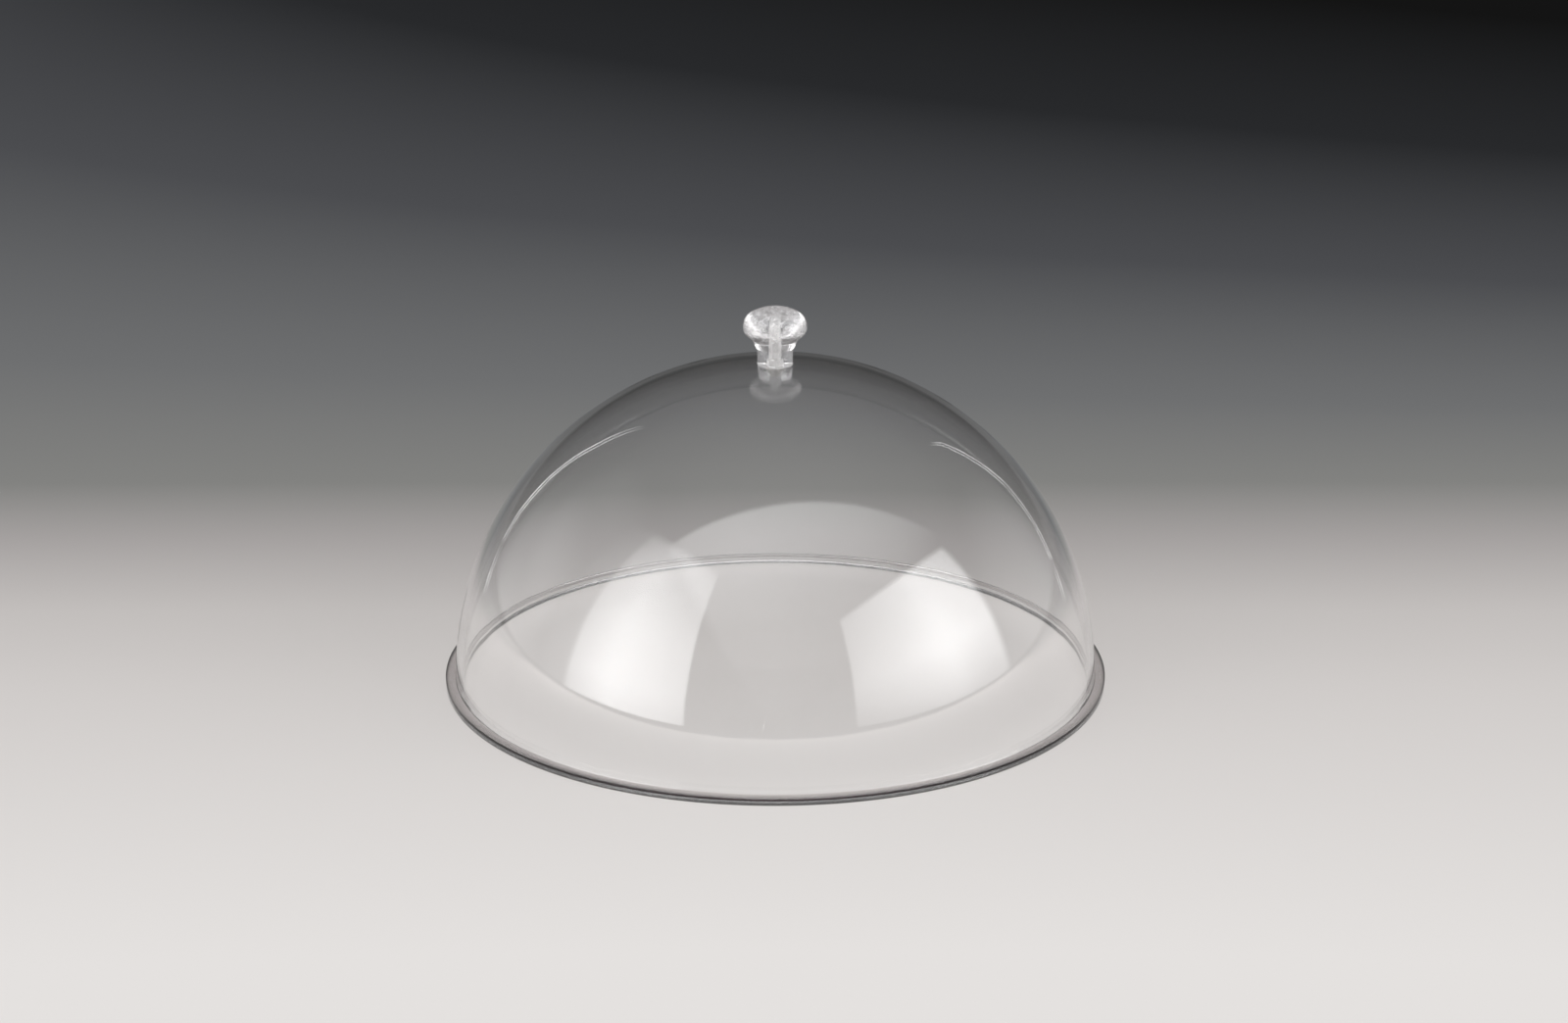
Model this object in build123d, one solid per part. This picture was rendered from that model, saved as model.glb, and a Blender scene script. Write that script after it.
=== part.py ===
from build123d import *
from math import hypot, sqrt
import os

# Clear food cover: a moulded hemispherical dome with a narrow rim, and a moulded knob screwed on from inside.
# Millimetres, +Z up. The origin is the middle of the rim's underside, which rests on the plate or tray.

# Dome: a hemisphere of even wall with a flat rim turned outwards at its foot
dome_diameter = 291.0
dome_wall = 3.0
rim_overhang = 4.5
rim_thickness = 2.9
rim_root_fillet = 0.9
rim_top_break = 0.8
rim_foot_break = 0.8

# Knob, stacked upwards from its seat on the dome: stem, collar, then the head's cone, side and crown
stem_diameter = 15.8
stem_height = 7.6
stem_foot_break = 0.4
collar_step = 0.65
collar_flare = 1.7
collar_height = 3.9
collar_edge_break = 0.3
head_overhang = 3.85
underside_rise = 3.2
side_height = 6.3
crown_rise = 5.0
underside_round = 4.5
shoulder_round = 6.9

# Fastening from under the dome: a clear plastic screw, and a clear soft washer under its head
screw_diameter = 3.5
screw_length = 20.0
screw_head_diameter = 7.0
screw_head_height = 2.7
screw_head_chamfer = 0.8
screw_point_chamfer = 0.4
recess_span = 3.9
recess_width = 1.0
recess_depth = 1.7
soft_washer_diameter = 10.0
soft_washer_thickness = 1.0

# Clearances, each on the diameter unless it is a depth
dome_hole_clearance = 0.5
washer_hole_clearance = 0.3
thread_clearance = 0.1
bore_end_clearance = 0.7
bore_mouth_widening = 1.2
bore_mouth_depth = 3.0

# Heights and radii that follow from the sizes above
dome_radius = dome_diameter / 2
inner_radius = dome_radius - dome_wall
rim_radius = dome_radius + rim_overhang
stem_radius = stem_diameter / 2
collar_foot_radius = stem_radius + collar_step
collar_top_radius = collar_foot_radius + collar_flare
head_radius = collar_top_radius + head_overhang
collar_foot_z = dome_radius + stem_height
collar_top_z = collar_foot_z + collar_height
side_foot_z = collar_top_z + underside_rise
side_top_z = side_foot_z + side_height
crown_z = side_top_z + crown_rise
screw_seat_z = inner_radius - soft_washer_thickness
screw_tip_z = screw_seat_z + screw_length
bore_end_z = screw_tip_z + bore_end_clearance
dome_hole_radius = (screw_diameter + dome_hole_clearance) / 2
washer_hole_radius = (screw_diameter + washer_hole_clearance) / 2
bore_radius = (screw_diameter + thread_clearance) / 2
bore_mouth_radius = bore_radius + bore_mouth_widening / 2


def height_on_sphere(sphere_radius, distance_from_axis):
    """Height of a sphere about the origin at a distance from the Z axis."""
    return sqrt(sphere_radius**2 - distance_from_axis**2)


def point_on_sphere(sphere_radius, distance_from_axis):
    return (distance_from_axis, height_on_sphere(sphere_radius, distance_from_axis))


def corner(sketch, distance_from_axis, height):
    """The corner of a half section that lies at a distance from the axis and a height."""
    return sketch.vertices().sort_by_distance((distance_from_axis, height))[0]


def turned(half_section):
    """A solid turned about the Z axis from a half section: x is the distance from the axis, y the height."""
    return revolve(Plane.XZ * half_section, axis=Axis.Z)


def sphere_arc(sphere_radius, start, end):
    """Part of a meridian of a sphere about the origin, between two points on it."""
    middle = (start[0] + end[0], start[1] + end[1])
    reach = sphere_radius / hypot(*middle)
    return ThreePointArc(start, (middle[0] * reach, middle[1] * reach), end)


def make_dome_shell():
    """Hemisphere of even wall, with a flat rim at its foot and a hole for the screw at its top."""
    rim_root = (height_on_sphere(dome_radius, rim_thickness), rim_thickness)
    hole_outer_edge = point_on_sphere(dome_radius, dome_hole_radius)
    hole_inner_edge = point_on_sphere(inner_radius, dome_hole_radius)
    with BuildSketch() as section:
        with BuildLine():
            Polyline((inner_radius, 0), (rim_radius, 0), (rim_radius, rim_thickness), rim_root)
            sphere_arc(dome_radius, rim_root, hole_outer_edge)
            Line(hole_outer_edge, hole_inner_edge)
            sphere_arc(inner_radius, hole_inner_edge, (inner_radius, 0))
        make_face()
        fillet(corner(section, *rim_root), rim_root_fillet)
        chamfer(corner(section, rim_radius, rim_thickness), rim_top_break)
        chamfer(corner(section, rim_radius, 0), rim_foot_break)
    return turned(section.sketch)


def make_knob():
    """Mushroom knob whose foot follows the dome, with a blind bore for the screw."""
    foot_outer_edge = point_on_sphere(dome_radius, stem_radius)
    foot_inner_edge = point_on_sphere(dome_radius, bore_mouth_radius)
    mouth_end_z = dome_radius + bore_mouth_depth
    with BuildSketch() as section:
        with BuildLine():
            sphere_arc(dome_radius, foot_inner_edge, foot_outer_edge)
            Polyline(
                foot_outer_edge,
                (stem_radius, collar_foot_z),
                (collar_foot_radius, collar_foot_z),
                (collar_top_radius, collar_top_z),
                (head_radius, side_foot_z),
                (head_radius, side_top_z),
            )
            # The crown is level on the axis and falls to the top of the head's side.
            TangentArc((0, crown_z), (head_radius, side_top_z), tangent=(1, 0))
            Polyline(
                (0, crown_z),
                (0, bore_end_z),
                (bore_radius, bore_end_z),
                (bore_radius, mouth_end_z),
                (bore_mouth_radius, mouth_end_z),
                foot_inner_edge,
            )
        make_face()
        fillet(corner(section, head_radius, side_top_z), shoulder_round)
        fillet(corner(section, head_radius, side_foot_z), underside_round)
        chamfer(corner(section, collar_foot_radius, collar_foot_z), collar_edge_break)
        chamfer(corner(section, *foot_outer_edge), stem_foot_break)
    return turned(section.sketch)


def make_knob_screw():
    """Clear plastic screw, head down, with a plain shank and a cross recess in its head."""
    screw_radius = screw_diameter / 2
    screw_head_radius = screw_head_diameter / 2
    head_foot_z = screw_seat_z - screw_head_height
    with BuildSketch() as section:
        with BuildLine():
            Polyline(
                (0, head_foot_z),
                (screw_head_radius, head_foot_z),
                (screw_head_radius, screw_seat_z),
                (screw_radius, screw_seat_z),
                (screw_radius, screw_tip_z),
                (0, screw_tip_z),
                close=True,
            )
        make_face()
        chamfer(corner(section, screw_head_radius, head_foot_z), screw_head_chamfer)
        chamfer(corner(section, screw_radius, screw_tip_z), screw_point_chamfer)
    with BuildSketch(Plane.XY.offset(head_foot_z)) as recess:
        Rectangle(recess_span, recess_width)
        Rectangle(recess_width, recess_span)
    return turned(section.sketch) - extrude(recess.sketch, recess_depth)


def make_soft_washer():
    """Soft washer, flat below, whose top takes up the curve of the dome's inside."""
    soft_washer_radius = soft_washer_diameter / 2
    top_inner_edge = point_on_sphere(inner_radius, washer_hole_radius)
    top_outer_edge = point_on_sphere(inner_radius, soft_washer_radius)
    with BuildSketch() as section:
        with BuildLine():
            Polyline(
                top_inner_edge,
                (washer_hole_radius, screw_seat_z),
                (soft_washer_radius, screw_seat_z),
                top_outer_edge,
            )
            sphere_arc(inner_radius, top_outer_edge, top_inner_edge)
        make_face()
    return turned(section.sketch)


os.makedirs("parts", exist_ok=True)
export_step(make_dome_shell(), "parts/dome_shell.step")
export_step(make_knob(), "parts/knob.step")
export_step(make_knob_screw(), "parts/knob_screw.step")
export_step(make_soft_washer(), "parts/soft_washer.step")
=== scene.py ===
from math import acos, asin, atan2, cos, hypot, pi, radians, sin, sqrt, tan

import bmesh
import bpy
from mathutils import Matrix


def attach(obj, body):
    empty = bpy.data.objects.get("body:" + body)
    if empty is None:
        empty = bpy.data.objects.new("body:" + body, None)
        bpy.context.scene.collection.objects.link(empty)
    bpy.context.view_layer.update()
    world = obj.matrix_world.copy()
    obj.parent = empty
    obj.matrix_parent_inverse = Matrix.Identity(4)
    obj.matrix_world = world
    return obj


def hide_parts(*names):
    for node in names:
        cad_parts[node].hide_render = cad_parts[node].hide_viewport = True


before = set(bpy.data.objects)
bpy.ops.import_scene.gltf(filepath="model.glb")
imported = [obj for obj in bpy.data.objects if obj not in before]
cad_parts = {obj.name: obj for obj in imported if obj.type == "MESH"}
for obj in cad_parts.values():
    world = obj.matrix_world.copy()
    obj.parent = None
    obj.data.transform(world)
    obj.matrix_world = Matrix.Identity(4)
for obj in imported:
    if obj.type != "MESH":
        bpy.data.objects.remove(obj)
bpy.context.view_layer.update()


# Dome shell
# The large piece: a hemisphere of clear acrylic with a narrow flat rim turned out at its foot.
# It is moulded in one shot and polished on both faces, so it has no seam. Its rim is trimmed to width and
# sanded flat on top and below, and its top is drilled for the knob's screw.
mm = 0.001
dome_radius = 145.5 * mm
dome_wall = 3.0 * mm
inner_radius = dome_radius - dome_wall
rim_radius = 150.0 * mm
rim_thickness = 2.9 * mm
rim_root_radius = sqrt(dome_radius**2 - rim_thickness**2)
rim_root_fillet = 0.3 * mm
rim_top_round = 0.15 * mm
rim_foot_round = 0.65 * mm
# Above this height the rim's outer edge carries a painted shade
edge_shade_z = 1.85 * mm
edge_skin = 0.03 * mm
foot_break = 0.3 * mm
dome_hole_radius = 2.0 * mm
touching = 0.02 * mm
merge_distance = 0.001 * mm
crease_angle = radians(30)


def sweep(section, start, centre, angle, steps):
    """Draws an arc of a half section from a vertex, about a centre (distance from the axis, height)."""
    swept = bmesh.ops.spin(
        section, geom=[start], cent=(centre[0], 0, centre[1]), axis=(0, 1, 0), angle=angle, steps=steps
    )
    return [v for v in swept["geom_last"] if isinstance(v, bmesh.types.BMVert)][0]


def line_to(section, start, distance, height):
    """Draws a straight edge of a half section from a vertex to a distance from the axis and a height."""
    end = section.verts.new((distance, 0, height))
    section.edges.new((start, end))
    return end


def turn(section, steps):
    """Turns a half section about the Z axis into a closed skin with its faces outwards."""
    bmesh.ops.spin(
        section,
        geom=section.verts[:] + section.edges[:],
        cent=(0, 0, 0),
        axis=(0, 0, 1),
        angle=2 * pi,
        steps=steps,
        use_merge=True,
    )
    bmesh.ops.remove_doubles(section, verts=section.verts[:], dist=merge_distance)
    bmesh.ops.recalc_face_normals(section, faces=section.faces[:])


def ring_edges(section, distance, height):
    """The edges of the circle at a distance from the axis and a height."""

    def on_ring(vertex):
        off = abs(hypot(vertex.co.x, vertex.co.y) - distance)
        return off < touching and abs(vertex.co.z - height) < touching

    return [e for e in section.edges if all(on_ring(v) for v in e.verts)]


def round_ring(section, distance, height, offset, segments):
    """Rounds the corner along the circle at a distance from the axis and a height."""
    bmesh.ops.bevel(
        section,
        geom=ring_edges(section, distance, height),
        offset=offset,
        offset_type="OFFSET",
        segments=segments,
        profile=0.5,
        affect="EDGES",
        material=-1,
    )


def make_piece(name, skin):
    """A piece of the object from its skin: smooth, with creases where two faces meet at a sharp angle."""
    for face in skin.faces:
        face.smooth = True
    for edge in skin.edges:
        edge.smooth = edge.calc_face_angle(0) < crease_angle
    mesh = bpy.data.meshes.new(name)
    skin.to_mesh(mesh)
    skin.free()
    piece = bpy.data.objects.new(name, mesh)
    bpy.context.scene.collection.objects.link(piece)
    return piece


dome_skin = bmesh.new()
hole_outer = dome_skin.verts.new((dome_hole_radius, 0, sqrt(dome_radius**2 - dome_hole_radius**2)))
outer_sweep = acos(rim_thickness / dome_radius) - asin(dome_hole_radius / dome_radius)
inner_sweep = pi / 2 - asin(dome_hole_radius / inner_radius)
rim_root = sweep(dome_skin, hole_outer, (0, 0), outer_sweep, steps=72)
rim_top = line_to(dome_skin, rim_root, rim_radius, rim_thickness)
edge_shade_foot = line_to(dome_skin, rim_top, rim_radius, edge_shade_z)
rim_bottom = line_to(dome_skin, edge_shade_foot, rim_radius, 0)
hole_inner = line_to(dome_skin, hole_outer, dome_hole_radius, sqrt(inner_radius**2 - dome_hole_radius**2))
rim_inner = sweep(dome_skin, hole_inner, (0, 0), inner_sweep, steps=72)
dome_skin.edges.new((rim_inner, rim_bottom))
turn(dome_skin, steps=288)
round_ring(dome_skin, rim_root_radius, rim_thickness, rim_root_fillet, segments=4)
round_ring(dome_skin, rim_radius, rim_thickness, rim_top_round, segments=3)
round_ring(dome_skin, rim_radius, 0, rim_foot_round, segments=6)
round_ring(dome_skin, inner_radius, 0, foot_break, segments=3)

sanded_slot = 1
painted_shade_slot = 2
# The upper part of the rim's outer edge takes the painted shade, and the rim's top and underside are sanded.
for face in dome_skin.faces:
    middle = face.calc_center_median()
    out = hypot(middle.x, middle.y)
    on_painted_shade_edge = out > rim_radius - edge_skin and middle.z > edge_shade_z
    on_underside = middle.z < touching
    on_rim_top = out > rim_root_radius and middle.z > rim_thickness - touching
    if on_painted_shade_edge:
        face.material_index = painted_shade_slot
    elif on_underside or on_rim_top:
        face.material_index = sanded_slot
dome_shell = make_piece("clear_dome", dome_skin)


def linear(hex_colour):
    """An sRGB hex colour as the linear colour that a shader takes."""
    channels = [int(hex_colour[i : i + 2], 16) / 255 for i in (1, 3, 5)]
    return [c / 12.92 if c <= 0.04045 else ((c + 0.055) / 1.055) ** 2.4 for c in channels] + [1.0]


def start_material(name):
    """A new material whose node tree is empty."""
    material = bpy.data.materials.new(name)
    material.use_nodes = True
    material.node_tree.nodes.clear()
    return material


def add_node(tree, kind, inputs=None, **settings):
    """Adds a node with its settings. An input that is a socket is linked, and any other is a plain value."""
    node = tree.nodes.new(kind)
    for name, value in settings.items():
        setattr(node, name, value)
    for name, value in (inputs or {}).items():
        if isinstance(value, bpy.types.NodeSocket):
            tree.links.new(value, node.inputs[name])
        else:
            node.inputs[name].default_value = value
    return node


# Clear acrylic, moulded and polished: it bends light as such plastic does and is glossy all over.
# The mould's polish leaves long shallow waves, which make the edges of reflections wander a little.
acrylic_ior = 1.49
dome_acrylic = start_material("clear_acrylic_dome")
tree = dome_acrylic.node_tree
place = add_node(tree, "ShaderNodeTexCoord").outputs["Object"]
wave_width = 22 * mm
wave_depth = 0.03 * mm
waves = add_node(tree, "ShaderNodeTexNoise", {"Vector": place, "Scale": 1 / wave_width, "Detail": 1.0})
wave_bump = add_node(
    tree, "ShaderNodeBump", {"Height": waves.outputs["Fac"], "Strength": 1.0, "Distance": wave_depth}
)
dome_shader = add_node(
    tree,
    "ShaderNodeBsdfPrincipled",
    {
        "Base Color": linear("#FEFEFE"),
        "Roughness": 0.0,
        "IOR": acrylic_ior,
        "Transmission Weight": 1.0,
        "Normal": wave_bump.outputs["Normal"],
    },
)
add_node(tree, "ShaderNodeOutputMaterial", {"Surface": dome_shader.outputs["BSDF"]})
dome_shell.data.materials.append(dome_acrylic)

# The same acrylic where it was sanded, on the rim's top and underside: a satin face that scatters what is
# seen through it. Its grit is drawn coarser than it is, so that it shows.
sanded_acrylic = start_material("sanded_acrylic_rim")
tree = sanded_acrylic.node_tree
place = add_node(tree, "ShaderNodeTexCoord").outputs["Object"]
grit_width = 0.6 * mm
grit = add_node(tree, "ShaderNodeTexNoise", {"Vector": place, "Scale": 1 / grit_width, "Detail": 2.0})
grit_shine = add_node(
    tree, "ShaderNodeMapRange", {"Value": grit.outputs["Fac"], "To Min": 0.14, "To Max": 0.28}
)
sanded_shader = add_node(
    tree,
    "ShaderNodeBsdfPrincipled",
    {
        "Base Color": linear("#FAF6F6"),
        "Roughness": grit_shine.outputs["Result"],
        "IOR": acrylic_ior,
        "Transmission Weight": 1.0,
    },
)
add_node(tree, "ShaderNodeOutputMaterial", {"Surface": sanded_shader.outputs["BSDF"]})
dome_shell.data.materials.append(sanded_acrylic)

# The rim's outer edge where a cutter trimmed it. Painted shade: its upper part is coloured a dark purple
# brown that stands for the shade and dark reflections that the clear edge shows end on. The cutter's marks
# run round it, drawn coarse to show.
edge_shade_material = start_material("trimmed_edge_painted_shade")
tree = edge_shade_material.node_tree
place = add_node(tree, "ShaderNodeTexCoord").outputs["Object"]
mark_spacing = 0.5 * mm
mark_stretch = 10
mark_place = add_node(
    tree, "ShaderNodeMapping", {"Vector": place, "Scale": (1 / mark_stretch, 1 / mark_stretch, 1.0)}
)
marks = add_node(
    tree, "ShaderNodeTexNoise", {"Vector": mark_place.outputs["Vector"], "Scale": 1 / mark_spacing}
)
mark_shine = add_node(
    tree, "ShaderNodeMapRange", {"Value": marks.outputs["Fac"], "To Min": 0.1, "To Max": 0.3}
)
edge_shade_shader = add_node(
    tree,
    "ShaderNodeBsdfPrincipled",
    {
        "Base Color": linear("#22161A"),
        "Roughness": mark_shine.outputs["Result"],
        "IOR": acrylic_ior,
        "Transmission Weight": 1.0,
    },
)
add_node(tree, "ShaderNodeOutputMaterial", {"Surface": edge_shade_shader.outputs["BSDF"]})
dome_shell.data.materials.append(edge_shade_material)
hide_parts("dome_shell")
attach(dome_shell, "root")


# Knob
# A mushroom of clear acrylic, moulded solid: a plain stem, a flared collar and a rounded head.
# Its foot is shaped to the dome, and a blind hole up its middle takes the screw from inside the cover.
stem_radius = 7.9 * mm
collar_foot_radius = 8.55 * mm
collar_top_radius = 10.25 * mm
head_radius = 14.1 * mm
collar_foot_z = 153.1 * mm
collar_top_z = 157.0 * mm
side_foot_z = 160.2 * mm
side_top_z = 166.5 * mm
crown_z = 171.5 * mm
underside_round = 4.5 * mm
shoulder_round = 6.9 * mm
bore_radius = 1.8 * mm
bore_end_z = 162.2 * mm
bore_mouth_radius = 2.4 * mm
bore_mouth_z = 148.5 * mm
stem_foot_break = 0.4 * mm
collar_edge_break = 0.3 * mm
collar_top_round = 0.5 * mm
seat_gap = 0.04 * mm
gate_hollow_radius = 2.0 * mm
gate_hollow_depth = 0.4 * mm
gate_hollow_slope = 0.35 * mm
gate_stub_radius = 0.7 * mm
gate_stub_crown = 0.05 * mm
gate_stub_flare = 0.15 * mm

crown_rise = crown_z - side_top_z
crown_radius = (head_radius**2 + crown_rise**2) / (2 * crown_rise)
crown_centre = (0, crown_z - crown_radius)
shoulder_offset = head_radius - shoulder_round
shoulder_centre = (
    shoulder_offset,
    crown_centre[1] + sqrt((crown_radius - shoulder_round) ** 2 - shoulder_offset**2),
)
crown_sweep = atan2(shoulder_offset, shoulder_centre[1] - crown_centre[1])
underside_slope = atan2(side_foot_z - collar_top_z, head_radius - collar_top_radius)
underside_sweep = pi / 2 - underside_slope
underside_centre = (head_radius - underside_round, side_foot_z + underside_round * tan(underside_sweep / 2))
knob_seat = dome_radius + seat_gap
stem_foot_z = sqrt(knob_seat**2 - stem_radius**2)
foot_sweep = asin(bore_mouth_radius / knob_seat) - asin(stem_radius / knob_seat)

# The gate's stub stands in a small round hollow at the middle of the crown.
hollow_edge_angle = asin(gate_hollow_radius / crown_radius)
hollow_edge_z = crown_centre[1] + crown_radius * cos(hollow_edge_angle)
hollow_floor_z = crown_z - gate_hollow_depth

knob_skin = bmesh.new()
stub_middle = knob_skin.verts.new((0, 0, crown_z))
stub_top = line_to(knob_skin, stub_middle, gate_stub_radius, crown_z - gate_stub_crown)
stub_foot = line_to(knob_skin, stub_top, gate_stub_radius + gate_stub_flare, hollow_floor_z)
hollow_floor = line_to(knob_skin, stub_foot, gate_hollow_radius - gate_hollow_slope, hollow_floor_z)
hollow_edge = line_to(knob_skin, hollow_floor, gate_hollow_radius, hollow_edge_z)
shoulder = sweep(knob_skin, hollow_edge, crown_centre, crown_sweep - hollow_edge_angle, steps=12)
side_top = sweep(knob_skin, shoulder, shoulder_centre, pi / 2 - crown_sweep, steps=18)
side_foot = line_to(knob_skin, side_top, head_radius, underside_centre[1])
underside = sweep(knob_skin, side_foot, underside_centre, underside_sweep, steps=12)
collar_top = line_to(knob_skin, underside, collar_top_radius, collar_top_z)
collar_foot = line_to(knob_skin, collar_top, collar_foot_radius, collar_foot_z)
stem_top = line_to(knob_skin, collar_foot, stem_radius, collar_foot_z)
stem_foot = line_to(knob_skin, stem_top, stem_radius, stem_foot_z)
mouth_foot = sweep(knob_skin, stem_foot, (0, 0), foot_sweep, steps=6)
mouth_top = line_to(knob_skin, mouth_foot, bore_mouth_radius, bore_mouth_z)
bore_foot = line_to(knob_skin, mouth_top, bore_radius, bore_mouth_z)
bore_top = line_to(knob_skin, bore_foot, bore_radius, bore_end_z)
line_to(knob_skin, bore_top, 0, bore_end_z)
turn(knob_skin, steps=144)
round_ring(knob_skin, collar_foot_radius, collar_foot_z, collar_edge_break, segments=3)
round_ring(knob_skin, collar_top_radius, collar_top_z, collar_top_round, segments=3)
round_ring(knob_skin, stem_radius, stem_foot_z, stem_foot_break, segments=3)

cut_slot = 1
for face in knob_skin.faces:
    middle = face.calc_center_median()
    out = hypot(middle.x, middle.y)
    in_bore = out < bore_mouth_radius + touching and middle.z < bore_end_z + touching
    on_seat = middle.length < knob_seat + touching
    if in_bore or on_seat:
        face.material_index = cut_slot
knob = make_piece("clear_knob", knob_skin)

# The same acrylic, thick here: cooling draws its skin into small shallow hollows that break up what is seen
# in it. Wide hollows bend the outlines of what it shows, and narrow pits make it glitter. The head is hazed
# by handling and washing, the stem under it less so.
knob_acrylic = start_material("clear_acrylic_knob")
tree = knob_acrylic.node_tree
place = add_node(tree, "ShaderNodeTexCoord").outputs["Object"]
hollow_width = 4 * mm
hollow_depth = 0.06 * mm
hollows = add_node(tree, "ShaderNodeTexNoise", {"Vector": place, "Scale": 1 / hollow_width, "Detail": 1.0})
hollow_bump = add_node(
    tree, "ShaderNodeBump", {"Height": hollows.outputs["Fac"], "Strength": 1.0, "Distance": hollow_depth}
)
pit_width = 1.6 * mm
pit_depth = 0.05 * mm
pits = add_node(tree, "ShaderNodeTexNoise", {"Vector": place, "Scale": 1 / pit_width, "Detail": 1.0})
pit_bump = add_node(
    tree,
    "ShaderNodeBump",
    {
        "Height": pits.outputs["Fac"],
        "Strength": 1.0,
        "Distance": pit_depth,
        "Normal": hollow_bump.outputs["Normal"],
    },
)
knob_height = add_node(tree, "ShaderNodeSeparateXYZ", {"Vector": place}).outputs["Z"]
handled = add_node(
    tree,
    "ShaderNodeMapRange",
    {"Value": knob_height, "From Min": collar_foot_z, "From Max": side_foot_z, "To Min": 0.6, "To Max": 1.0},
    interpolation_type="SMOOTHSTEP",
)
scuffs = add_node(
    tree,
    "ShaderNodeMapRange",
    {"Value": pits.outputs["Fac"], "From Min": 0.3, "From Max": 0.7, "To Min": 0.06, "To Max": 0.34},
)
haze = add_node(
    tree, "ShaderNodeMath", {0: scuffs.outputs["Result"], 1: handled.outputs["Result"]}, operation="MULTIPLY"
)
clearness = add_node(tree, "ShaderNodeMath", {0: 1.0, 1: haze.outputs["Value"]}, operation="SUBTRACT")
knob_dullness = add_node(tree, "ShaderNodeMapRange", {"Value": handled.outputs["Result"], "To Max": 0.12})
knob_shader = add_node(
    tree,
    "ShaderNodeBsdfPrincipled",
    {
        "Base Color": linear("#FBFAFB"),
        "Roughness": knob_dullness.outputs["Result"],
        "IOR": acrylic_ior,
        "Transmission Weight": clearness.outputs["Value"],
        "Normal": pit_bump.outputs["Normal"],
    },
)
add_node(tree, "ShaderNodeOutputMaterial", {"Surface": knob_shader.outputs["BSDF"]})
knob.data.materials.append(knob_acrylic)

# The same acrylic where it was cut, in the tapped hole and on the seat under the stem: white and frosted,
# with the thread's rings. A wave node at scale 1 repeats every pi / 10.
cut_acrylic = start_material("cut_acrylic_bore")
tree = cut_acrylic.node_tree
place = add_node(tree, "ShaderNodeTexCoord").outputs["Object"]
tap_pitch = 0.6 * mm
tap_depth = 0.1 * mm
tap_rings = add_node(
    tree,
    "ShaderNodeTexWave",
    {"Vector": place, "Scale": pi / 10 / tap_pitch, "Distortion": 0.4},
    bands_direction="Z",
)
tap_bump = add_node(
    tree, "ShaderNodeBump", {"Height": tap_rings.outputs["Fac"], "Strength": 0.5, "Distance": tap_depth}
)
cut_shader = add_node(
    tree,
    "ShaderNodeBsdfPrincipled",
    {
        "Base Color": linear("#F1F0EF"),
        "Roughness": 0.5,
        "IOR": acrylic_ior,
        "Transmission Weight": 0.5,
        "Normal": tap_bump.outputs["Normal"],
    },
)
add_node(tree, "ShaderNodeOutputMaterial", {"Surface": cut_shader.outputs["BSDF"]})
knob.data.materials.append(cut_acrylic)
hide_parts("knob")
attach(knob, "root")


# Knob screw
# A pan-head screw of clear polycarbonate with a cross recess, put in from under the dome into the knob.
# It is moulded in one piece, and its thread stands on the shank as one long ridge.
shank_radius = 1.38 * mm
thread_radius = 1.75 * mm
thread_pitch = 0.6 * mm
screw_head_radius = 3.5 * mm
screw_seat_z = 141.5 * mm
screw_head_foot_z = 138.8 * mm
screw_tip_z = 161.5 * mm
screw_head_round = 1.9 * mm
screw_point_break = 0.4 * mm
recess_span = 3.9 * mm
recess_width = 1.0 * mm
recess_depth = 1.7 * mm

screw_skin = bmesh.new()
head_middle = screw_skin.verts.new((0, 0, screw_head_foot_z))
head_flat = line_to(screw_skin, head_middle, screw_head_radius - screw_head_round, screw_head_foot_z)
head_centre = (screw_head_radius - screw_head_round, screw_head_foot_z + screw_head_round)
head_side = sweep(screw_skin, head_flat, head_centre, -pi / 2, steps=10)
head_seat = line_to(screw_skin, head_side, screw_head_radius, screw_seat_z)
shank_foot = line_to(screw_skin, head_seat, shank_radius, screw_seat_z)
shank_top = line_to(screw_skin, shank_foot, shank_radius, screw_tip_z - screw_point_break)
point_edge = line_to(screw_skin, shank_top, shank_radius - screw_point_break, screw_tip_z)
line_to(screw_skin, point_edge, 0, screw_tip_z)
turn(screw_skin, steps=64)
knob_screw = make_piece("clear_screw", screw_skin)

# The thread: one ridge that climbs the shank. Its section is given as distances from the axis, and as heights
# that are shares of the pitch. Its root is sunk a little into the shank.
thread_foot_z = screw_seat_z + 1.0 * mm
thread_turns = 30
steps_per_turn = 32
ridge_root = shank_radius - 0.1 * mm
ridge_section = ((ridge_root, 0.0), (thread_radius, 0.33), (thread_radius, 0.46), (ridge_root, 0.79))
ridge_skin = bmesh.new()
ridge_corners = [
    ridge_skin.verts.new((distance, 0, thread_foot_z + rise * thread_pitch))
    for distance, rise in ridge_section
]
ridge_start = ridge_skin.faces.new(ridge_corners)
bmesh.ops.spin(
    ridge_skin,
    geom=[ridge_start] + ridge_start.edges[:] + ridge_corners,
    cent=(0, 0, 0),
    axis=(0, 0, 1),
    dvec=(0, 0, thread_pitch / steps_per_turn),
    angle=2 * pi * thread_turns,
    steps=steps_per_turn * thread_turns,
)
bmesh.ops.recalc_face_normals(ridge_skin, faces=ridge_skin.faces[:])
ridge = make_piece("thread_ridge", ridge_skin)

# The cross recess: two tapered blades that the mould sets into the head
blade_taper = 0.72
blade_skin = bmesh.new()
for across, along in ((recess_span, recess_width), (recess_width, recess_span)):
    blade = bmesh.ops.create_cube(blade_skin, size=1.0)["verts"]
    bmesh.ops.scale(blade_skin, vec=(across, along, 2 * recess_depth), verts=blade)
    tip = [v for v in blade if v.co.z > 0]
    bmesh.ops.scale(blade_skin, vec=(blade_taper, blade_taper, 1.0), verts=tip)
    bmesh.ops.translate(blade_skin, vec=(0, 0, screw_head_foot_z), verts=blade)
blades = make_piece("recess_blades", blade_skin)

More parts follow.
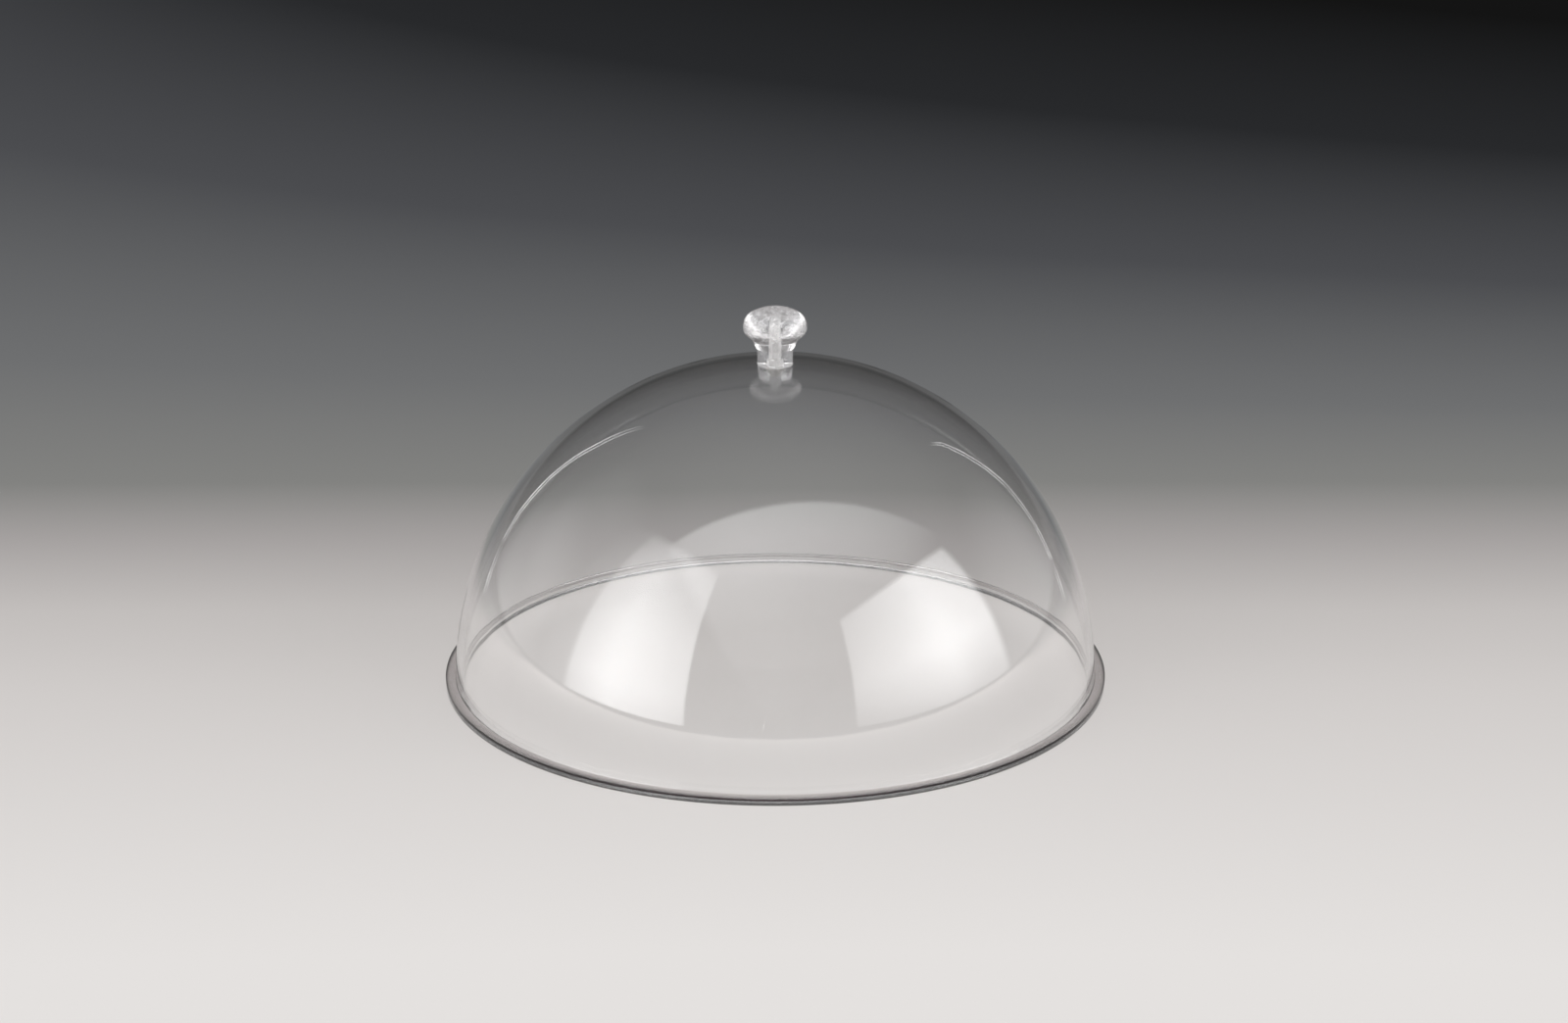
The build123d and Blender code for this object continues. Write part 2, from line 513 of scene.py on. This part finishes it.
for shape, way_joined in ((ridge, "UNION"), (blades, "DIFFERENCE")):
    joining = knob_screw.modifiers.new(shape.name, "BOOLEAN")
    joining.operation = way_joined
    joining.use_self = shape is blades
    joining.object = shape
joined = bpy.data.meshes.new_from_object(knob_screw.evaluated_get(bpy.context.evaluated_depsgraph_get()))
for scrap in (knob_screw, ridge, blades):
    bpy.data.objects.remove(scrap)
screw_skin = bmesh.new()
screw_skin.from_mesh(joined)
bpy.data.meshes.remove(joined)
knob_screw = make_piece("clear_screw", screw_skin)

# Clear polycarbonate straight from the mould: glossy, with the faint swirl that its flow leaves in the skin.
screw_plastic = start_material("clear_polycarbonate_screw")
tree = screw_plastic.node_tree
place = add_node(tree, "ShaderNodeTexCoord").outputs["Object"]
swirl_width = 1.5 * mm
swirl_depth = 0.02 * mm
swirl = add_node(
    tree, "ShaderNodeTexNoise", {"Vector": place, "Scale": 1 / swirl_width, "Detail": 2.0, "Distortion": 1.0}
)
swirl_shine = add_node(
    tree, "ShaderNodeMapRange", {"Value": swirl.outputs["Fac"], "To Min": 0.05, "To Max": 0.15}
)
swirl_bump = add_node(
    tree, "ShaderNodeBump", {"Height": swirl.outputs["Fac"], "Strength": 0.5, "Distance": swirl_depth}
)
screw_shader = add_node(
    tree,
    "ShaderNodeBsdfPrincipled",
    {
        "Base Color": linear("#FAFAF8"),
        "Roughness": swirl_shine.outputs["Result"],
        "IOR": 1.58,
        "Transmission Weight": 1.0,
        "Normal": swirl_bump.outputs["Normal"],
    },
)
add_node(tree, "ShaderNodeOutputMaterial", {"Surface": screw_shader.outputs["BSDF"]})
knob_screw.data.materials.append(screw_plastic)
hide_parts("knob_screw")
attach(knob_screw, "root")


# Soft washer
# A disc of clear soft vinyl between the screw's head and the dome, so that the screw doesn't mark the dome.
# It is moulded flat below, and its top takes up the curve of the dome's inside.
soft_washer_radius = 5.0 * mm
washer_hole_radius = 1.9 * mm
washer_edge_round = 0.2 * mm
washer_seat = inner_radius - seat_gap
washer_foot_z = screw_seat_z + seat_gap

soft_skin = bmesh.new()
hole_top = soft_skin.verts.new((washer_hole_radius, 0, sqrt(washer_seat**2 - washer_hole_radius**2)))
top_sweep = asin(soft_washer_radius / washer_seat) - asin(washer_hole_radius / washer_seat)
edge_top = sweep(soft_skin, hole_top, (0, 0), top_sweep, steps=6)
edge_foot = line_to(soft_skin, edge_top, soft_washer_radius, washer_foot_z)
hole_foot = line_to(soft_skin, edge_foot, washer_hole_radius, washer_foot_z)
soft_skin.edges.new((hole_foot, hole_top))
turn(soft_skin, steps=96)
round_ring(soft_skin, soft_washer_radius, washer_foot_z, washer_edge_round, segments=3)
soft_washer = make_piece("soft_washer_disc", soft_skin)

# Clear soft vinyl: see-through but hazy, with a satin skin.
soft_vinyl = start_material("clear_soft_vinyl")
tree = soft_vinyl.node_tree
place = add_node(tree, "ShaderNodeTexCoord").outputs["Object"]
cloud_width = 1.2 * mm
clouds = add_node(tree, "ShaderNodeTexNoise", {"Vector": place, "Scale": 1 / cloud_width, "Detail": 2.0})
cloud_shine = add_node(
    tree, "ShaderNodeMapRange", {"Value": clouds.outputs["Fac"], "To Min": 0.16, "To Max": 0.3}
)
vinyl_shader = add_node(
    tree,
    "ShaderNodeBsdfPrincipled",
    {
        "Base Color": linear("#F2F1EC"),
        "Roughness": cloud_shine.outputs["Result"],
        "IOR": 1.53,
        "Transmission Weight": 1.0,
    },
)
add_node(tree, "ShaderNodeOutputMaterial", {"Surface": vinyl_shader.outputs["BSDF"]})
soft_washer.data.materials.append(soft_vinyl)
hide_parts("soft_washer")
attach(soft_washer, "root")


# Floor
# A wide pale sheet that the cover stands on, a hair below the rim. A pool of light is painted on it,
# palest in front of the cover and falling off to near black far away, as on a sheet lit from above and in
# front in a dark studio.
# Sizes on the floor are in metres.
floor_radius = 14.0
floor_gap = 0.15 * mm
pool_middle_y = -0.33
pool_front_share = 0.25
pool_side_share = 0.12
pool_tilt = 0.62
pool_tilt_from = 0.6
pool_tilt_to = 2.7
pool_tilt_most = 2.0
pool_reach = 2.6
painted_pool_tones = (
    (0.05, "#E3E0DE"),
    (0.31, "#CFCBC9"),
    (0.41, "#C2BEBC"),
    (0.51, "#A5A1A0"),
    (0.60, "#828280"),
    (0.77, "#6E6F70"),
    (1.14, "#4B4C4F"),
    (1.70, "#28292B"),
    (2.60, "#141414"),
)
glow_share = 0.8
lit_share = 0.185
table_half_width = 2.8
table_front_y = -0.78
table_back_y = 0.62
beyond_table = 0.15
beyond_behind = 0.09
beside_lift = 1.15
edge_foot_x = 0.206

floor_skin = bmesh.new()
bmesh.ops.create_circle(floor_skin, cap_ends=True, radius=floor_radius, segments=96)
bmesh.ops.translate(floor_skin, vec=(0, 0, -floor_gap), verts=floor_skin.verts[:])
floor = make_piece("floor_sheet", floor_skin)
floor_sheet = start_material("pale_floor_sheet")
floor_sheet.cycles.emission_sampling = "NONE"
tree = floor_sheet.node_tree
place = add_node(tree, "ShaderNodeTexCoord").outputs["Object"]
spot = add_node(tree, "ShaderNodeSeparateXYZ", {"Vector": place})

# The painted pool of light takes its tone from the distance to its middle. Distances count in full towards
# the back, and by a share towards the front and the sides. Far away the painted pool is darker on the right.
behind = add_node(tree, "ShaderNodeMath", {0: spot.outputs["Y"], 1: pool_middle_y}, operation="SUBTRACT")
ahead = add_node(
    tree, "ShaderNodeMath", {0: behind.outputs["Value"], 1: -pool_front_share}, operation="MULTIPLY"
)
depth = add_node(
    tree, "ShaderNodeMath", {0: behind.outputs["Value"], 1: ahead.outputs["Value"]}, operation="MAXIMUM"
)
far_off = add_node(
    tree,
    "ShaderNodeMapRange",
    {
        "Value": depth.outputs["Value"],
        "From Min": pool_tilt_from,
        "From Max": pool_tilt_to,
        "To Max": pool_tilt_most,
    },
)
tilt = add_node(tree, "ShaderNodeMath", {0: spot.outputs["X"], 1: pool_tilt}, operation="MULTIPLY")
tilted = add_node(
    tree,
    "ShaderNodeMath",
    {0: far_off.outputs["Result"], 1: tilt.outputs["Value"], 2: depth.outputs["Value"]},
    operation="MULTIPLY_ADD",
)
side = add_node(tree, "ShaderNodeMath", {0: spot.outputs["X"], 1: pool_side_share}, operation="MULTIPLY")
from_middle = add_node(
    tree, "ShaderNodeCombineXYZ", {"X": side.outputs["Value"], "Y": tilted.outputs["Value"]}
)
reach = add_node(tree, "ShaderNodeVectorMath", {0: from_middle.outputs["Vector"]}, operation="LENGTH")
share = add_node(tree, "ShaderNodeMapRange", {"Value": reach.outputs["Value"], "From Max": pool_reach})


def set_stops(ramp, stops):
    """Gives a colour ramp its stops, each a place from 0 to 1 and a linear colour."""
    for _ in stops[2:]:
        ramp.elements.new(0.5)
    for stop, (place_on_ramp, colour) in zip(ramp.elements, stops):
        stop.position = place_on_ramp
        stop.color = colour


def profile(value, stops):
    """A brightness that follows a value through stops, each a value and the brightness there."""
    low, high = stops[0][0], stops[-1][0]
    along = add_node(tree, "ShaderNodeMapRange", {"Value": value, "From Min": low, "From Max": high})
    curve = add_node(tree, "ShaderNodeValToRGB", {"Fac": along.outputs["Result"]})
    set_stops(curve.color_ramp, [((v - low) / (high - low), (b, b, b, 1.0)) for v, b in stops])
    return curve.outputs["Color"]


pool = add_node(tree, "ShaderNodeValToRGB", {"Fac": share.outputs["Result"]})
set_stops(pool.color_ramp, [(distance / pool_reach, linear(tone)) for distance, tone in painted_pool_tones])

# Painted shade: little light gets in under the rim, so the sheet is painted dark there, deepest in front,
# less at the sides, and not at all at the far side. Each stop is a distance from the axis and the share of
# light that is left.
side_shade = (
    (0.1423, 1.0),
    (0.1480, 0.95),
    (0.1487, 0.8),
    (0.1491, 0.35),
    (0.1496, 0.3),
    (0.1499, 0.6),
    (0.1500, 1.0),
)
front_shade = (
    (0.1423, 1.0),
    (0.1450, 0.9),
    (0.1465, 0.75),
    (0.1480, 0.45),
    (0.1490, 0.2),
    (0.1496, 0.2),
    (0.1499, 0.5),
    (0.1500, 1.0),
)
# Backwards is -1 straight in front of the axis, 0 beside it and 1 straight behind it.
outwards = add_node(tree, "ShaderNodeVectorMath", {0: place}, operation="LENGTH").outputs["Value"]
backwards = add_node(
    tree, "ShaderNodeMath", {0: spot.outputs["Y"], 1: outwards}, operation="DIVIDE"
).outputs["Value"]
in_front = add_node(
    tree,
    "ShaderNodeMapRange",
    {"Value": backwards, "From Min": -0.85, "From Max": -0.5, "To Min": 1.0, "To Max": 0.0},
)
at_far_side = add_node(tree, "ShaderNodeMapRange", {"Value": backwards, "From Min": 0.2, "From Max": 0.6})
# A mix node's sockets go by number: 0 is the share, 2 and 3 are its values, and 6 and 7 its colours.
near_contact = add_node(
    tree,
    "ShaderNodeMix",
    {0: in_front.outputs["Result"], 2: profile(outwards, side_shade), 3: profile(outwards, front_shade)},
    data_type="FLOAT",
)
painted_contact_shade = add_node(
    tree,
    "ShaderNodeMix",
    {0: at_far_side.outputs["Result"], 2: near_contact.outputs[0], 3: 1.0},
    data_type="FLOAT",
)

# Painted light: the dome's wall leads light down to its foot, and the pale ring that this leaves inside the
# rim is painted on the sheet, palest at the back.
ring_light = add_node(
    tree,
    "ShaderNodeMapRange",
    {"Value": backwards, "From Min": -0.3, "From Max": 0.5, "To Min": 0.11, "To Max": 0.26},
)
painted_pale_ring = profile(
    outwards, ((0.0, 0.2), (0.09, 0.25), (0.12, 0.5), (0.135, 1.0), (0.1421, 1.0), (0.1424, 0.0))
)
gathered = add_node(
    tree, "ShaderNodeMath", {0: painted_pale_ring, 1: ring_light.outputs["Result"], 2: 1.0}, operation="MULTIPLY_ADD"
)
shade = add_node(
    tree, "ShaderNodeMath", {0: painted_contact_shade.outputs[0], 1: gathered.outputs["Value"]}, operation="MULTIPLY"
)
sheet_paint = add_node(
    tree,
    "ShaderNodeVectorMath",
    {0: pool.outputs["Color"], "Scale": shade.outputs["Value"]},
    operation="SCALE",
).outputs["Vector"]

# Seen straight or through the plastic, the sheet runs on without an end. In reflections it ends at the
# table's edge, and what lies beyond is dark, darkest straight behind the cover.
sight = add_node(tree, "ShaderNodeLightPath")
not_mirrored = add_node(
    tree, "ShaderNodeMath", {0: sight.outputs["Glossy Depth"], 1: 0.5}, operation="LESS_THAN"
)
through = add_node(
    tree,
    "ShaderNodeMath",
    {0: sight.outputs["Is Transmission Ray"], 1: not_mirrored.outputs["Value"]},
    operation="MULTIPLY",
)
straight = add_node(
    tree,
    "ShaderNodeMath",
    {0: sight.outputs["Is Camera Ray"], 1: through.outputs["Value"]},
    operation="MAXIMUM",
)
aside = add_node(tree, "ShaderNodeMath", {0: spot.outputs["X"]}, operation="ABSOLUTE").outputs["Value"]
on_width = add_node(tree, "ShaderNodeMath", {0: aside, 1: table_half_width}, operation="LESS_THAN")
from_table = add_node(
    tree,
    "ShaderNodeMath",
    {0: spot.outputs["Y"], 1: (table_front_y + table_back_y) / 2},
    operation="SUBTRACT",
)
off_middle = add_node(tree, "ShaderNodeMath", {0: from_table.outputs["Value"]}, operation="ABSOLUTE")
on_depth = add_node(
    tree,
    "ShaderNodeMath",
    {0: off_middle.outputs["Value"], 1: (table_back_y - table_front_y) / 2},
    operation="LESS_THAN",
)
on_table = add_node(
    tree, "ShaderNodeMath", {0: on_width.outputs["Value"], 1: on_depth.outputs["Value"]}, operation="MULTIPLY"
)
beyond = add_node(
    tree,
    "ShaderNodeMapRange",
    {
        "Value": backwards,
        "From Min": 0.94,
        "From Max": 0.995,
        "To Min": beyond_table,
        "To Max": beyond_behind,
    },
)

# In reflections the sheet carries painted light and shade: the softboxes' light is painted on it in front
# of the cover and beside it, and the cover's own shadow is painted straight behind it.
painted_lamp_pool = profile(outwards, ((0.2, 1.0), (0.35, 1.4), (0.6, 2.0), (1.2, 2.8), (2.8, 2.8)))
painted_own_shadow = profile(
    outwards, ((0.0, 1.0), (0.08, 0.8), (0.1, 0.62), (0.149, 0.5), (0.25, 0.5), (0.6, 1.0))
)
straight_behind = add_node(
    tree,
    "ShaderNodeMapRange",
    {"Value": aside, "From Min": 0.08, "From Max": 0.13, "To Min": 1.0, "To Max": 0.0},
)
shadow = add_node(
    tree,
    "ShaderNodeMix",
    {0: straight_behind.outputs["Result"], 2: beside_lift, 3: painted_own_shadow},
    data_type="FLOAT",
)
not_behind = add_node(
    tree,
    "ShaderNodeMapRange",
    {"Value": backwards, "From Min": 0.35, "From Max": 0.6, "To Min": 1.0, "To Max": 0.0},
)
lift = add_node(
    tree,
    "ShaderNodeMix",
    {0: not_behind.outputs["Result"], 2: shadow.outputs[0], 3: painted_lamp_pool},
    data_type="FLOAT",
)
lifted = add_node(tree, "ShaderNodeVectorMath", {0: sheet_paint, "Scale": lift.outputs[0]}, operation="SCALE")
in_mirror = add_node(
    tree,
    "ShaderNodeMix",
    {0: on_table.outputs["Value"], 6: beyond.outputs["Result"], 7: lifted.outputs["Vector"]},
    data_type="RGBA",
)

# Painted highlights: the sheet's lit side edges are painted as bright lines that lie on the floor behind the
# cover and spread apart towards the back.
edge_spread = add_node(
    tree,
    "ShaderNodeMapRange",
    {"Value": spot.outputs["X"], "From Min": -0.1, "From Max": 0.1, "To Min": 0.792, "To Max": 0.936},
)
edge_place = add_node(
    tree,
    "ShaderNodeMath",
    {0: spot.outputs["Y"], 1: edge_spread.outputs["Result"], 2: edge_foot_x},
    operation="MULTIPLY_ADD",
)
off_edge = add_node(tree, "ShaderNodeMath", {0: aside, 1: edge_place.outputs["Value"]}, operation="SUBTRACT")
floor_edge = profile(off_edge.outputs["Value"], ((-0.012, 0.0), (-0.006, 2.6), (0.006, 2.6), (0.012, 0.0)))
edge_start = add_node(
    tree, "ShaderNodeMapRange", {"Value": spot.outputs["Y"], "From Min": 0.3, "From Max": 0.6}
)
painted_edge_highlight = add_node(
    tree, "ShaderNodeMath", {0: floor_edge, 1: edge_start.outputs["Result"]}, operation="MULTIPLY"
)
edged = add_node(
    tree,
    "ShaderNodeVectorMath",
    {0: in_mirror.outputs[2], 1: painted_edge_highlight.outputs["Value"]},
    operation="ADD",
)
sheet_tone = add_node(
    tree,
    "ShaderNodeMix",
    {0: straight.outputs["Value"], 6: edged.outputs["Vector"], 7: sheet_paint},
    data_type="RGBA",
)

# Most of the sheet's tone is its own glow, and the rest is lit by the studio.
sheet_glow = add_node(
    tree, "ShaderNodeEmission", {"Color": sheet_tone.outputs[2], "Strength": glow_share}
)
sheet_lit_tone = add_node(
    tree, "ShaderNodeVectorMath", {0: sheet_tone.outputs[2], "Scale": lit_share}, operation="SCALE"
)
sheet_lit = add_node(tree, "ShaderNodeBsdfDiffuse", {"Color": sheet_lit_tone.outputs["Vector"]})
sheet = add_node(
    tree, "ShaderNodeAddShader", {0: sheet_glow.outputs["Emission"], 1: sheet_lit.outputs["BSDF"]}
)
add_node(tree, "ShaderNodeOutputMaterial", {"Surface": sheet.outputs["Shader"]})
floor.data.materials.append(floor_sheet)


# Studio light
# A dark room with two upright softboxes in front of the cover, left and right, and a wide soft panel overhead
# that fades towards the front. They are seen in reflections, and the open room behind is plain and dark.
least_out = 0.05
least_up = 0.05
least_back = 0.1
panel_lean = (0.21, -1.0, -0.155)
open_room = 0.008

studio = bpy.data.worlds.new("dark_studio")
bpy.context.scene.world = studio
studio.use_nodes = True
tree = studio.node_tree
tree.nodes.clear()
towards = add_node(tree, "ShaderNodeTexCoord").outputs["Generated"]
way = add_node(tree, "ShaderNodeSeparateXYZ", {"Vector": towards})


def softbox(azimuth, brightness, across, upwards):
    """An upright softbox that faces the cover from an azimuth, counted to the right from straight in front.

    Places across and upwards are shares of its distance, from its middle line and from the floor's level.
    """
    facing = (sin(radians(azimuth)), -cos(radians(azimuth)), 0.0)
    sideways = (cos(radians(azimuth)), sin(radians(azimuth)), 0.0)
    out = add_node(tree, "ShaderNodeVectorMath", {0: towards, 1: facing}, operation="DOT_PRODUCT")
    off = add_node(tree, "ShaderNodeVectorMath", {0: towards, 1: sideways}, operation="DOT_PRODUCT")
    distance = add_node(tree, "ShaderNodeMath", {0: out.outputs["Value"], 1: least_out}, operation="MAXIMUM")
    u = add_node(
        tree, "ShaderNodeMath", {0: off.outputs["Value"], 1: distance.outputs["Value"]}, operation="DIVIDE"
    )
    v = add_node(
        tree, "ShaderNodeMath", {0: way.outputs["Z"], 1: distance.outputs["Value"]}, operation="DIVIDE"
    )
    spread = add_node(
        tree,
        "ShaderNodeMath",
        {0: profile(u.outputs["Value"], across), 1: profile(v.outputs["Value"], upwards)},
        operation="MULTIPLY",
    )
    faces_it = add_node(
        tree, "ShaderNodeMath", {0: out.outputs["Value"], 1: least_out}, operation="GREATER_THAN"
    )
    lit = add_node(
        tree, "ShaderNodeMath", {0: faces_it.outputs["Value"], 1: brightness}, operation="MULTIPLY"
    )
    return add_node(
        tree, "ShaderNodeMath", {0: spread.outputs["Value"], 1: lit.outputs["Value"]}, operation="MULTIPLY"
    ).outputs["Value"]


left_softbox = softbox(
    azimuth=-55,
    brightness=5.9,
    across=(
        (-0.8, 0.0),
        (-0.52, 0.14),
        (-0.47, 0.18),
        (-0.42, 0.55),
        (-0.1, 1.0),
        (0.1, 0.85),
        (0.42, 0.58),
        (0.44, 0.0),
    ),
    upwards=((-0.06, 0.0), (-0.03, 0.7), (0.15, 1.0), (0.5, 0.95), (0.9, 0.7), (1.3, 0.4), (1.45, 0.0)),
)
right_softbox = softbox(
    azimuth=62,
    brightness=6.2,
    across=((-0.69, 0.0), (-0.66, 0.36), (-0.3, 0.62), (0.1, 1.0), (0.52, 0.62), (0.58, 0.0)),
    upwards=((-0.06, 0.0), (-0.03, 0.25), (0.1, 0.6), (0.3, 1.0), (0.6, 0.9), (0.86, 0.75), (0.92, 0.0)),
)

# The overhead panel, by the angle up from the front over the top to the back, and by the place across it
lean = add_node(tree, "ShaderNodeVectorMath", {0: towards, 1: panel_lean}, operation="DOT_PRODUCT")
rise = add_node(
    tree, "ShaderNodeMath", {0: way.outputs["Z"], 1: lean.outputs["Value"]}, operation="ARCTAN2"
)
panel_rise = profile(
    rise.outputs["Value"],
    (
        (0.0, 0.05),
        (0.26, 0.15),
        (0.52, 0.35),
        (0.73, 0.65),
        (0.89, 1.15),
        (1.10, 1.85),
        (1.35, 2.2),
        (1.565, 2.2),
        (1.59, 0.0),
    ),
)
over = add_node(tree, "ShaderNodeMath", {0: way.outputs["Z"], 1: least_up}, operation="MAXIMUM")
along_panel = add_node(
    tree, "ShaderNodeMath", {0: way.outputs["X"], 1: over.outputs["Value"]}, operation="DIVIDE"
)
panel_across = profile(
    along_panel.outputs["Value"],
    (
        (-0.75, 0.0),
        (-0.6, 0.9),
        (-0.2, 1.1),
        (0.1, 1.0),
        (0.5, 0.75),
        (0.8, 0.45),
        (1.1, 0.1),
        (1.2, 0.0),
    ),
)
top_panel = add_node(tree, "ShaderNodeMath", {0: panel_rise, 1: panel_across}, operation="MULTIPLY")
glows = [left_softbox, right_softbox, top_panel.outputs["Value"]]

# Pale haze where the room's sides are lit
for azimuth, elevation, spread, brightness in ((-104, 30, 26, 0.32), (-112, 4, 32, 0.5), (112, 4, 32, 0.5)):
    middle = (
        sin(radians(azimuth)) * cos(radians(elevation)),
        -cos(radians(azimuth)) * cos(radians(elevation)),
        sin(radians(elevation)),
    )
    near = add_node(tree, "ShaderNodeVectorMath", {0: towards, 1: middle}, operation="DOT_PRODUCT")
    patch = add_node(
        tree,
        "ShaderNodeMapRange",
        {
            "Value": near.outputs["Value"],
            "From Min": cos(radians(spread)),
            "From Max": 1.0,
            "To Max": brightness,
        },
        interpolation_type="SMOOTHSTEP",
    )
    glows.append(patch.outputs["Result"])

# The lit edges of the sheet where it rises behind the cover, on the left and on the right
back = add_node(
    tree, "ShaderNodeMath", {0: way.outputs["Y"], 1: least_back}, operation="MAXIMUM"
).outputs["Value"]
back_x = add_node(tree, "ShaderNodeMath", {0: way.outputs["X"], 1: back}, operation="DIVIDE").outputs["Value"]
back_z = add_node(tree, "ShaderNodeMath", {0: way.outputs["Z"], 1: back}, operation="DIVIDE").outputs["Value"]
left_edge_x = profile(
    back_z, ((-0.12, 0.887), (0.0, 0.785), (0.08, 0.733), (0.3, 0.7), (0.5, 0.68), (0.76, 0.618))
)
right_edge_x = profile(
    back_z, ((-0.12, 1.03), (0.02, 0.91), (0.13, 0.81), (0.25, 0.742), (0.67, 0.733), (0.83, 0.785))
)
left_edge_glow = profile(
    back_z,
    (
        (-0.12, 1.8),
        (0.03, 3.6),
        (0.1, 5.0),
        (0.2, 4.4),
        (0.3, 3.6),
        (0.5, 4.5),
        (0.6, 3.2),
        (0.83, 0.0),
    ),
)
right_edge_glow = profile(
    back_z,
    (
        (-0.12, 1.8),
        (0.02, 3.6),
        (0.13, 3.2),
        (0.25, 2.5),
        (0.4, 2.8),
        (0.55, 3.4),
        (0.67, 2.1),
        (0.83, 0.0),
    ),
)
for hand, edge_x, edge_glow in ((-1, left_edge_x, left_edge_glow), (1, right_edge_x, right_edge_glow)):
    hand_x = add_node(tree, "ShaderNodeMath", {0: back_x, 1: hand}, operation="MULTIPLY")
    edge_off = add_node(
        tree, "ShaderNodeMath", {0: hand_x.outputs["Value"], 1: edge_x}, operation="SUBTRACT"
    )
    edge_line = profile(
        edge_off.outputs["Value"], ((-0.008, 0.0), (-0.004, 1.4), (0.004, 1.4), (0.008, 0.0))
    )
    sheet_edge = add_node(tree, "ShaderNodeMath", {0: edge_line, 1: edge_glow}, operation="MULTIPLY")
    glows.append(sheet_edge.outputs["Value"])

# The room itself is dark and grows a little paler upwards. All glows add to it.
studio_sum = profile(
    way.outputs["Z"],
    (
        (-0.1, 0.055),
        (0.05, 0.055),
        (0.2, 0.05),
        (0.35, 0.04),
        (0.6, 0.06),
        (0.68, 0.1),
        (0.85, 0.17),
        (1.0, 0.3),
    ),
)
for glow in glows:
    studio_sum = add_node(tree, "ShaderNodeMath", {0: studio_sum, 1: glow}, operation="ADD").outputs["Value"]

# Seen straight or through the plastic, what lies low behind the cover is the open dark room. Higher up, clear
# pieces show the studio.
sight = add_node(tree, "ShaderNodeLightPath")
not_mirrored = add_node(
    tree, "ShaderNodeMath", {0: sight.outputs["Glossy Depth"], 1: 0.5}, operation="LESS_THAN"
)
not_scattered = add_node(
    tree, "ShaderNodeMath", {0: sight.outputs["Diffuse Depth"], 1: 0.5}, operation="LESS_THAN"
)
clear_way = add_node(
    tree,
    "ShaderNodeMath",
    {0: not_mirrored.outputs["Value"], 1: not_scattered.outputs["Value"]},
    operation="MULTIPLY",
)
through = add_node(
    tree,
    "ShaderNodeMath",
    {0: sight.outputs["Is Transmission Ray"], 1: clear_way.outputs["Value"]},
    operation="MULTIPLY",
)
low_down = add_node(
    tree,
    "ShaderNodeMapRange",
    {"Value": way.outputs["Z"], "From Min": 0.14, "From Max": 0.34, "To Min": 1.0, "To Max": 0.0},
    interpolation_type="SMOOTHSTEP",
)
through_low = add_node(
    tree, "ShaderNodeMath", {0: through.outputs["Value"], 1: low_down.outputs["Result"]}, operation="MULTIPLY"
)
straight = add_node(
    tree,
    "ShaderNodeMath",
    {0: sight.outputs["Is Camera Ray"], 1: through_low.outputs["Value"]},
    operation="MAXIMUM",
)
shown_glow = add_node(
    tree, "ShaderNodeMix", {0: straight.outputs["Value"], 2: studio_sum, 3: open_room}, data_type="FLOAT"
)
backdrop = add_node(
    tree, "ShaderNodeBackground", {"Color": linear("#FFFFFF"), "Strength": shown_glow.outputs[0]}
)
add_node(tree, "ShaderNodeOutputWorld", {"Surface": backdrop.outputs["Background"]})


# Camera
# At the photograph's angle: in front, looking down at 19 degrees with a 72 mm lens.
camera_place = (0.0, -1.325, 0.536)
look_down = radians(19.13)
look_right = radians(0.17)

lens = bpy.data.cameras.new("photo_camera")
lens.sensor_width = 36.0
lens.lens = 71.6
camera = bpy.data.objects.new("photo_camera", lens)
camera.location = camera_place
camera.rotation_euler = (pi / 2 - look_down, 0.0, -look_right)
bpy.context.scene.collection.objects.link(camera)
bpy.context.scene.camera = camera
bpy.context.scene.view_settings.view_transform = "Standard"

# Light crosses many faces in clear plastic before it reaches the eye.
bpy.context.scene.cycles.max_bounces = 32
bpy.context.scene.cycles.transmission_bounces = 32
bpy.context.scene.cycles.glossy_bounces = 16
